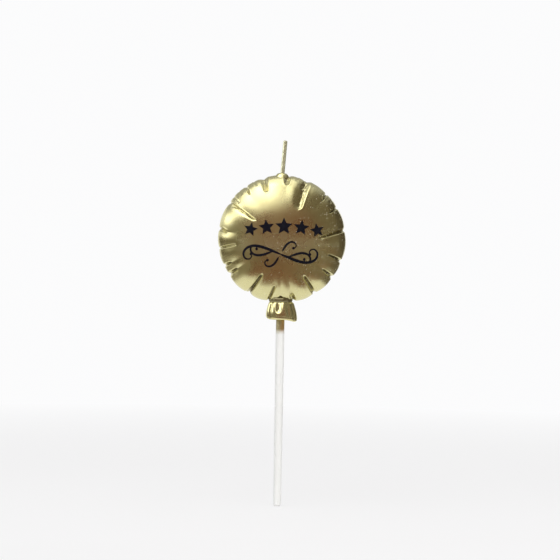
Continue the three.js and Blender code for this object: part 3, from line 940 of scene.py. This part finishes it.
class CANDLE_OT_balloon(bpy.types.Operator):
    """Make the balloon's skin with its pleats and lobes, its throat and the wick's seat."""

    bl_idname = "candle.balloon"
    bl_label = "Balloon"

    def execute(self, context):
        satin_gold = gold_material(
            "Satin Gold Lacquer", roughness=0.28, spread=0.03, grain=0.45, dusting=0.5, painted_crevice_shading=True)
        finished(balloon_skin(), "balloon_skin", satin_gold, "balloon_body")
        # The throat gets a darker copy of the gold: painted shade for the recess between the balloon
        # and the neck
        throat_shade_gold = gold_material(
            "Throat Gold Lacquer", roughness=0.5, spread=0.05, grain=0.4, dusting=0.02,
            gold=colours().throat)
        finished(throat_skin(), "throat_skin", throat_shade_gold, "balloon_body")
        finished(seat_skin(), "wick_seat", satin_gold, "balloon_body")
        return {"FINISHED"}


# Print
def star_sheet(radius, degrees):
    """Flat five-pointed star round the origin, in the XZ plane."""
    sheet = bmesh.new()
    bmesh.ops.create_circle(
        sheet, cap_ends=True, cap_tris=True, segments=2 * STAR_POINTS, radius=radius)
    step = 360 / STAR_POINTS
    for vert in sheet.verts:
        turn = math.degrees(math.atan2(vert.co.x, vert.co.y)) % step
        if vert.co.length > radius / 2 and step / 4 < turn < 3 * step / 4:
            vert.co *= STAR_INNER
    bmesh.ops.subdivide_edges(sheet, edges=sheet.edges, cuts=STAR_CUTS, use_grid_fill=True)
    turn = Matrix.Rotation(math.radians(degrees), 4, "Y") @ Matrix.Rotation(math.pi / 2, 4, "X")
    bmesh.ops.transform(sheet, matrix=turn, verts=sheet.verts)
    return sheet


def scroll_line(stroke, sign):
    """Middle line of a pen stroke, as points a step apart, that curls in more and more to its end."""
    x, z, heading, length, curl, late, _, _ = stroke
    step = length / SCROLL_STEPS
    turn = math.radians(heading)
    line = [Vector((sign * x, 0, sign * z)) * MM]
    for index in range(SCROLL_STEPS):
        turn += curl * ((index + 0.5) / SCROLL_STEPS) ** late * step
        x += math.cos(turn) * step
        z += math.sin(turn) * step
        line.append(Vector((sign * x, 0, sign * z)) * MM)
    return line


def scroll_sheet(stroke, sign):
    """Flat pen stroke, fine at its start, broad in the middle, with a round dot at its end."""
    fine, broad = (width * MM for width in stroke[-2:])
    length = stroke[3] * MM
    line = scroll_line(stroke, sign)
    sheet = bmesh.new()
    bmesh.ops.create_grid(sheet, x_segments=SCROLL_STEPS, y_segments=SCROLL_ROWS, size=0.5)
    for vert in sheet.verts:
        index = round((vert.co.x + 0.5) * SCROLL_STEPS)
        along = line[min(index + 1, SCROLL_STEPS)] - line[max(index - 1, 0)]
        along.normalize()
        share = index / SCROLL_STEPS
        width = mix(fine, broad, math.sin(math.pi * share ** SCROLL_SWELL_POWER))
        from_dot = (length * (1 - share) - SCROLL_DOT) / SCROLL_DOT
        if abs(from_dot) < 1:
            width = max(width, 2 * SCROLL_DOT * math.sqrt(1 - from_dot ** 2))
        if from_dot < 0:
            width = min(width, 2 * SCROLL_DOT * math.sqrt(SCROLL_END_ROUND - from_dot ** 2))
        vert.co = line[index] + Vector((-along.z, 0, along.x)) * vert.co.y * width
    return sheet


def printed(sheet, centre, surface):
    """Lays a flat sheet on the balloon's front as a closed raised print."""
    raised = bmesh.ops.extrude_face_region(sheet, geom=sheet.faces[:])
    front = {item for item in raised["geom"] if isinstance(item, bmesh.types.BMVert)}
    for vert in sheet.verts:
        place = vert.co + centre
        hit = surface.ray_cast(Vector((place.x, PRINT_RAY_START, place.z)), Vector((0, 1, 0)))[0]
        proud = -shape().print_height if vert in front else PRINT_SUNK
        vert.co = Vector((place.x, hit.y + proud, place.z))
    bmesh.ops.recalc_face_normals(sheet, faces=sheet.faces)
    return sheet


def ink_material():
    """Black print with a slight blue cast, a little worn through at its thinnest."""
    material, tree, shader, place = new_material("Black Print")
    worn = noise_node(tree, place, scale=900.0, detail=3.0)
    ink = colours().ink
    thin = ramp(tree, worn, INK_WORN_SPAN)
    dress(tree, shader, {
        "Base Color": blended(tree, thin, ink, scaled(ink, INK_WORN_GREYER)),
        "Roughness": ramp(tree, worn, NOISE_SPAN, INK_ROUGHNESS),
        "Specular IOR Level": INK_SHINE,
    })
    bumped(tree, worn, shader, strength=0.15, distance=0.02 * MM)
    return material


class CANDLE_OT_print(bpy.types.Operator):
    """Print a row of stars and a curled scroll on the balloon's front."""

    bl_idname = "candle.print"
    bl_label = "Print"

    def execute(self, context):
        skin = bpy.data.objects["balloon_skin"].data
        surface = BVHTree.FromPolygons(
            [vert.co for vert in skin.vertices], [face.vertices for face in skin.polygons])
        ink = ink_material()
        for number, (x, z, radius, degrees) in enumerate(STARS_MM, 1):
            centre = STAR_ROW + Vector((x, 0, z)) * MM
            star = printed(star_sheet(radius * MM, degrees), centre, surface)
            finished(star, f"print_star_{number}", ink)
        for number, stroke in enumerate(SCROLL_STROKES_MM, 1):
            for side, sign in (("right", 1), ("left", -1)):
                scroll = printed(scroll_sheet(stroke, sign), SCROLL, surface)
                finished(scroll, f"print_scroll_{number}_{side}", ink)
        return {"FINISHED"}


# Throat and neck
def fold_depth(degrees, below):
    """How deep the neck's folds press in, at a turn and a distance below the top."""
    depth = 0
    for at, width, deepest, run_mm in NECK_FOLDS_MM:
        run = run_mm * MM
        narrowed = width * mix(1, FOLD_NARROWED, min(below / run, 1))
        fade = 1 - smooth(below, FOLD_FADE_START * run, run)
        depth += deepest * MM * fade * math.exp(-(turn_between(degrees, at) / narrowed) ** 2)
    return depth


def throat_skin():
    """Gathered underside of the balloon, whose folds run on from those of the neck."""
    skin = spun([(radius * MM, height * MM) for radius, height in THROAT_OUTLINE_MM], NECK_SEGMENTS)
    for vert in skin.verts:
        degrees = math.degrees(math.atan2(vert.co.x, -vert.co.y))
        half = math.hypot(vert.co.x, vert.co.y)
        if half:
            narrowed = 1 - THROAT_FOLD_SHARE * fold_depth(degrees, 0) / THROAT_HALF_WIDTH
            vert.co.x *= narrowed
            vert.co.y *= narrowed * THROAT_DEPTH_RATIO
    return skin


def lip_rise(degrees):
    """How high the neck's lip is at a turn, as it is wavy and tilted."""
    turn = math.radians(degrees)
    wave = NECK_LIP_WAVE * math.sin(NECK_LIP_WAVES * turn + NECK_LIP_PHASE)
    return wave - NECK_LIP_TILT * NECK_LIP_HALF_WIDTH * math.sin(turn)


def neck_point(degrees, width_share, fall, rise):
    """Point of the neck: share of its half width, share of its height from the top, and a rise."""
    turn = math.radians(degrees)
    flared = math.sin(min(fall / NECK_FLARE_END, 1) * math.pi / 2)
    flare = mix(NECK_TOP_HALF_WIDTH, NECK_LIP_HALF_WIDTH, flared)
    below = fall * (NECK_TOP - NECK_LIP)
    half = (flare - fold_depth(degrees, below)) * width_share
    return Vector((
        half * math.sin(turn) + mix(NECK_TOP_SHIFT, NECK_LIP_SHIFT, fall) * width_share,
        -half * math.cos(turn) * NECK_DEPTH_RATIO,
        mix(NECK_TOP, NECK_LIP + lip_rise(degrees), fall) + rise))


def neck_skin():
    skin = spun([(share, -fall) for share, fall, _ in NECK_SECTION_MM], NECK_SEGMENTS)
    rises = {(round(share, 4), round(fall, 4)): rise * MM for share, fall, rise in NECK_SECTION_MM}
    for vert in skin.verts:
        share = math.hypot(vert.co.x, vert.co.y)
        fall = -vert.co.z
        degrees = math.degrees(math.atan2(vert.co.x, -vert.co.y))
        vert.co = neck_point(degrees, share, fall, rises[round(share, 4), round(fall, 4)])
    return skin


class CANDLE_OT_neck(bpy.types.Operator):
    """Make the flared neck with its folds and rolled lip."""

    bl_idname = "candle.neck"
    bl_label = "Neck"

    def execute(self, context):
        bright_gold = gold_material(
            "Bright Gold Lacquer", roughness=0.15, spread=0.03, grain=0.12, dusting=0.02, metal=0.9)
        neck = finished(neck_skin(), "neck_skin", bright_gold, "neck_collar")
        wall = neck.modifiers.new("Wall", "SOLIDIFY")
        wall.thickness = NECK_WALL
        wall.offset = -1
        return {"FINISHED"}


# Stick
def stick_material():
    """White plastic, with gold lacquer run down from the neck in an uneven edge."""
    material, tree, shader, place = new_material("White Plastic")
    spot = add(tree, "ShaderNodeSeparateXYZ")
    tree.links.new(place, spot.inputs[0])
    uneven = noise_node(tree, place, scale=500.0)
    wobble = math_node(tree, "MULTIPLY", math_node(tree, "SUBTRACT", uneven, 0.5), RUN_WOBBLE)
    lacquer = ramp(tree, math_node(tree, "ADD", spot.outputs["Z"], wobble), RUN_SPAN)
    across = math_node(tree, "ADD", spot.outputs["X"], math_node(tree, "MULTIPLY", wobble, 0.5))
    darker = ramp(tree, across, RUN_DARK_SPAN)
    run = blended(tree, darker, colours().lacquer_run, colours().dark_run)
    sheen = noise_node(tree, place, scale=90.0)
    dress(tree, shader, {
        "Base Color": blended(tree, lacquer, colours().stick, run),
        "Metallic": math_node(tree, "MULTIPLY", lacquer, RUN_METAL),
        "Roughness": ramp(tree, sheen, NOISE_SPAN, PLASTIC_ROUGHNESS),
        "Coat Weight": PLASTIC_COAT,
    })
    moulded = noise_node(tree, place, scale=700.0, detail=3.0)
    bumped(tree, moulded, shader, strength=0.06, distance=0.03 * MM)
    return material


def stick_skin(radius):
    corner = STICK_TIP_RADIUS - STICK_TIP_FLAT
    profile = [(0, 0)]
    for step in range(STICK_TIP_STEPS + 1):
        turn = step / STICK_TIP_STEPS * math.pi / 2
        profile.append((STICK_TIP_FLAT + corner * math.sin(turn), corner * (1 - math.cos(turn))))
    for step in range(1, STICK_TAPER_STEPS + 1):
        share = step / STICK_TAPER_STEPS
        profile.append((mix(STICK_TIP_RADIUS, radius, share), mix(corner, STICK_TAPER_HEIGHT, share)))
    profile += [(radius, STICK_TOP - STICK_TOP_EDGE), (radius - STICK_TOP_EDGE, STICK_TOP),
                (0, STICK_TOP)]
    return spun(profile, STICK_SEGMENTS)


class CANDLE_OT_stick(bpy.types.Operator):
    """Make the stick with its rounded tip and slight taper."""

    bl_idname = "candle.stick"
    bl_label = "Stick"

    def execute(self, context):
        rod = stick_skin(shape().stick_radius)
        finished(rod, "stick_rod", stick_material(), "stick")
        return {"FINISHED"}


# Wick
def coat_skin(radius, length):
    """Thin wax coat that takes on the plait below it, with a socket for the braid at the cut end."""
    profile = [(COAT_FOOT_SHARE * radius, 0)]
    profile += [(radius, length * step / COAT_STEPS) for step in range(COAT_STEPS)]
    profile += [(share * radius, length + rise * MM) for share, rise in COAT_END_MM]
    skin = spun(profile, COAT_SEGMENTS)
    for vert in skin.verts:
        turn = math.atan2(vert.co.y, vert.co.x)
        rise = vert.co.z / PLAIT_RISE
        plait = math.sin(2 * turn + rise) + math.sin(2 * turn - rise)
        uneven = COAT_UNEVEN * noise.noise(vert.co * COAT_UNEVEN_SCALE)
        swell = 1 + PLAIT_SWELL * plait + uneven
        vert.co.x *= swell
        vert.co.y *= swell
    along_wick(skin, COAT_START)
    return skin


def braid_skin(radius):
    """Cut end of the cotton braid: strands that wind round each other, fanned a little at the cut."""
    skin = bmesh.new()
    strand_radius = STRAND_SHARE * radius
    for strand in range(BRAID_STRANDS):
        stand = Matrix.Translation((strand * STRAND_SPACING, 0, BRAID_LENGTH / 2))
        bmesh.ops.create_cone(
            skin, cap_ends=True, segments=BRAID_SIDES, radius1=strand_radius, radius2=strand_radius,
            depth=BRAID_LENGTH, matrix=stand)
    upright = [edge for edge in skin.edges if edge.calc_length() > BRAID_LENGTH / 2]
    bmesh.ops.subdivide_edges(skin, edges=upright, cuts=BRAID_RINGS - 1)
    for vert in skin.verts:
        strand = round(vert.co.x / STRAND_SPACING)
        share = vert.co.z / BRAID_LENGTH
        turn = math.tau * (strand / BRAID_STRANDS + BRAID_TURNS * share)
        out = (radius - strand_radius) * (1 + BRAID_FAN * smooth(share, BRAID_FAN_START, 1))
        vert.co.x += math.cos(turn) * out - strand * STRAND_SPACING
        vert.co.y += math.sin(turn) * out
        vert.co.z += strand % 2 * BRAID_UNEVEN * share
    bmesh.ops.recalc_face_normals(skin, faces=skin.faces)
    along_wick(skin, (WICK_TIP - WICK_BEND).length + BRAID_PROUD - BRAID_LENGTH)
    return skin


def cotton_material():
    material, tree, shader, place = new_material("Cotton Braid")
    fibres = noise_node(tree, place, scale=5200.0, detail=3.0)
    cotton = colours().cotton
    bare = ramp(tree, fibres, COTTON_BARE_SPAN)
    dress(tree, shader, {
        "Base Color": blended(tree, bare, scaled(cotton, COTTON_WAXED), cotton),
        "Roughness": ramp(tree, fibres, NOISE_SPAN, COTTON_ROUGHNESS),
    })
    bumped(tree, fibres, shader, strength=0.6, distance=0.05 * MM)
    return material


class CANDLE_OT_wick(bpy.types.Operator):
    """Make the wick's lacquered coat and the cotton braid at its cut end."""

    bl_idname = "candle.wick"
    bl_label = "Wick"

    def execute(self, context):
        radius = shape().coat_radius
        length = (WICK_TIP - WICK_BEND).length - COAT_START
        coat_gold = gold_material(
            "Wick Gold Lacquer", roughness=0.24, spread=0.03, grain=0.06, dusting=0,
            gold=colours().wick, metal=0.7)
        finished(coat_skin(radius, length), "wick_coat", coat_gold, "wick_sheath")
        braid = braid_skin(BRAID_SHARE * radius)
        finished(braid, "wick_braid", cotton_material(), "wick_core")
        return {"FINISHED"}


# Stage
def seen_pale(tree, shader, share):
    """Shows a stage surface at the background's near white, also in what mirrors it.

    The share is how far that hides the surface's own light and shadow from the camera."""
    path = add(tree, "ShaderNodeLightPath").outputs
    looked_at = math_node(tree, "MULTIPLY", path["Is Camera Ray"], share)
    mirrored = math_node(tree, "MAXIMUM", path["Is Glossy Ray"], path["Is Transmission Ray"])
    glow = add(tree, "ShaderNodeEmission")
    feed(tree, colours().background, glow.inputs["Color"])
    blend = add(tree, "ShaderNodeMixShader")
    tree.links.new(math_node(tree, "MAXIMUM", looked_at, mirrored), blend.inputs["Fac"])
    tree.links.new(shader.outputs["BSDF"], blend.inputs[1])
    tree.links.new(glow.outputs["Emission"], blend.inputs[2])
    tree.links.new(blend.outputs["Shader"], tree.nodes["Material Output"].inputs["Surface"])


def paper_material(name):
    material, tree, shader, place = new_material(name)
    tone = noise_node(tree, place, scale=3.0)
    pale = colours().floor
    dress(tree, shader, {
        "Base Color": blended(tree, tone, pale, scaled(pale, PAPER_DARKER)),
        "Roughness": PAPER_ROUGHNESS,
        "Specular IOR Level": PAPER_SHINE,
    })
    return material, tree, shader, place


def floor_material():
    """Pale floor that keeps its shadow, and is near white a little way off."""
    material, tree, shader, place = paper_material("Pale Floor")
    away = add(tree, "ShaderNodeVectorMath", operation="LENGTH")
    tree.links.new(place, away.inputs[0])
    share = ramp(tree, away.outputs["Value"], FLOOR_SEEN_SPAN, (FLOOR_SEEN_NEAR, 1))
    seen_pale(tree, shader, share)
    return material


def backdrop_material():
    material, tree, shader, _ = paper_material("Pale Backdrop")
    seen_pale(tree, shader, 1)
    return material


def flag_material(name, colour):
    """Dull dim card."""
    material, tree, shader, place = new_material(name)
    tone = noise_node(tree, place, scale=4.0)
    dress(tree, shader, {
        "Base Color": blended(tree, tone, colour, scaled(colour, CARD_DARKER)),
        "Roughness": CARD_ROUGHNESS,
    })
    return material


def floor_skin():
    skin = bmesh.new()
    bmesh.ops.create_circle(skin, cap_ends=True, segments=FLOOR_SEGMENTS, radius=FLOOR_RADIUS)
    return skin


def backdrop_skin():
    """Wall that sweeps up out of the floor, round the back and the left, open towards the front."""
    profile = []
    for step in range(BACKDROP_STEPS + 1):
        turn = step / BACKDROP_STEPS * math.pi / 2
        profile.append((
            BACKDROP_RADIUS - BACKDROP_SWEEP * (1 - math.sin(turn)),
            BACKDROP_FOOT + BACKDROP_SWEEP * (1 - math.cos(turn))))
    profile.append((BACKDROP_RADIUS, BACKDROP_HEIGHT))
    start = math.radians(90 - BACKDROP_RIGHT_END)
    return spun(profile, BACKDROP_SEGMENTS, start, math.radians(BACKDROP_RIGHT_END - BACKDROP_LEFT_END))


def flag(name, place, size, lean, turn, material):
    """Card that keeps the pale surroundings out of a part of what the gold mirrors."""
    skin = bmesh.new()
    bmesh.ops.create_grid(skin, x_segments=1, y_segments=1, size=0.5)
    move = (Matrix.Translation(place) @ Matrix.Rotation(math.radians(turn), 4, "Z")
            @ Matrix.Rotation(math.radians(lean), 4, "Y") @ Matrix.Diagonal((*size, 1, 1)))
    bmesh.ops.transform(skin, matrix=move, verts=skin.verts)
    card = stage_object(skin, name, material)
    card.visible_camera = False
    card.visible_diffuse = False
    card.visible_transmission = False
    card.visible_shadow = False


def lamp(name, roll, tilt, distance, size, strength, spread, mirrored):
    """Soft rectangular lamp that faces the balloon, of a brightness given for its middle."""
    light = bpy.data.lights.new(name, "AREA")
    light.shape = "RECTANGLE"
    light.size, light.size_y = size
    half = math.radians(spread) / 2
    kept = 1 if spread >= 180 else (math.tan(half) - half) / math.tan(half)
    light.energy = strength * math.pi * size[0] * size[1] * kept
    light.spread = 2 * half
    lamp_object = bpy.data.objects.new(name, light)
    turn, lean = math.radians(roll), math.radians(tilt)
    away = Vector((math.sin(lean) * math.sin(turn), -math.cos(lean), math.sin(lean) * math.cos(turn)))
    lamp_object.location = BALLOON_CENTRE + away * distance
    lamp_object.rotation_euler = (-away).to_track_quat("-Z", "Y").to_euler()
    lamp_object.visible_camera = False
    lamp_object.visible_glossy = mirrored
    bpy.context.scene.collection.objects.link(lamp_object)


def room_light():
    """World that is dim in front, warm behind the camera, and pale above and behind the candle."""
    world = bpy.context.scene.world or bpy.data.worlds.new("World")
    bpy.context.scene.world = world
    world.use_nodes = True
    tree = world.node_tree
    place = add(tree, "ShaderNodeTexCoord")
    direction = place.outputs["Generated"]
    ahead = toward(tree, direction, ROOM_FRONT_SIDE)
    warm = ramp(tree, ahead, ROOM_FRONT_SPAN, interpolation="SMOOTHSTEP")
    dim = blended(tree, warm, colours().room_side, colours().room_front)
    behind = toward(tree, direction, ROOM_BACK_SIDE)
    pale = ramp(tree, behind, ROOM_BACK_SPAN, interpolation="SMOOTHSTEP")
    room = blended(tree, pale, dim, colours().room_back)
    tree.links.new(room, tree.nodes["Background"].inputs["Color"])


def place_camera():
    """Camera straight in front, rolled a little, whose frame has a set width at the candle."""
    lens = bpy.data.cameras.new("camera")
    lens.sensor_width = SENSOR_WIDTH
    lens.lens = SENSOR_WIDTH * CAMERA_DISTANCE / FRAME_WIDTH
    camera = bpy.data.objects.new("camera", lens)
    level = Matrix.Rotation(math.pi / 2, 3, "X")
    camera.rotation_euler = (level @ Matrix.Rotation(CAMERA_ROLL, 3, "Z")).to_euler()
    camera.location = (CAMERA_X, -CAMERA_DISTANCE, CAMERA_HEIGHT)
    bpy.context.scene.collection.objects.link(camera)
    bpy.context.scene.camera = camera


class CANDLE_OT_stage(bpy.types.Operator):
    """Set the pale floor, the backdrop, the soft lamps and the camera."""

    bl_idname = "candle.stage"
    bl_label = "Stage"

    def execute(self, context):
        stage_object(floor_skin(), "floor", floor_material())
        stage_object(backdrop_skin(), "backdrop", backdrop_material())
        for name, place, size, lean, turn, tone in FLAGS:
            flag(name, place, size, lean, turn, flag_material(name, getattr(colours(), tone)))
        for values in LAMPS:
            lamp(*values)
        room_light()
        place_camera()
        context.scene.view_settings.view_transform = "Standard"
        return {"FINISHED"}


# Panel and registration
class CANDLE_PT_panel(bpy.types.Panel):
    """Lists the candle's settings and the steps that make it."""

    bl_idname = "CANDLE_PT_panel"
    bl_label = "Balloon Candle"
    bl_space_type = "VIEW_3D"
    bl_region_type = "UI"
    bl_category = "Candle"

    def draw(self, context):
        layout = self.layout
        for group in (context.scene.candle_shape, context.scene.candle_colours):
            box = layout.box()
            for name in group.__annotations__:
                box.prop(group, name)
        for step in STEPS:
            layout.operator(step.bl_idname)


STEPS = (CANDLE_OT_stage, CANDLE_OT_balloon, CANDLE_OT_print, CANDLE_OT_neck, CANDLE_OT_stick,
         CANDLE_OT_wick)
CLASSES = (CandleShape, CandleColours, *STEPS, CANDLE_PT_panel)


def register():
    for each in CLASSES:
        bpy.utils.register_class(each)
    bpy.types.Scene.candle_shape = PointerProperty(type=CandleShape)
    bpy.types.Scene.candle_colours = PointerProperty(type=CandleColours)


def unregister():
    del bpy.types.Scene.candle_shape
    del bpy.types.Scene.candle_colours
    for each in reversed(CLASSES):
        bpy.utils.unregister_class(each)


def main():
    register()
    for step in STEPS:
        family, name = step.bl_idname.split(".")
        getattr(getattr(bpy.ops, family), name)()


if __name__ == "__main__":
    main()
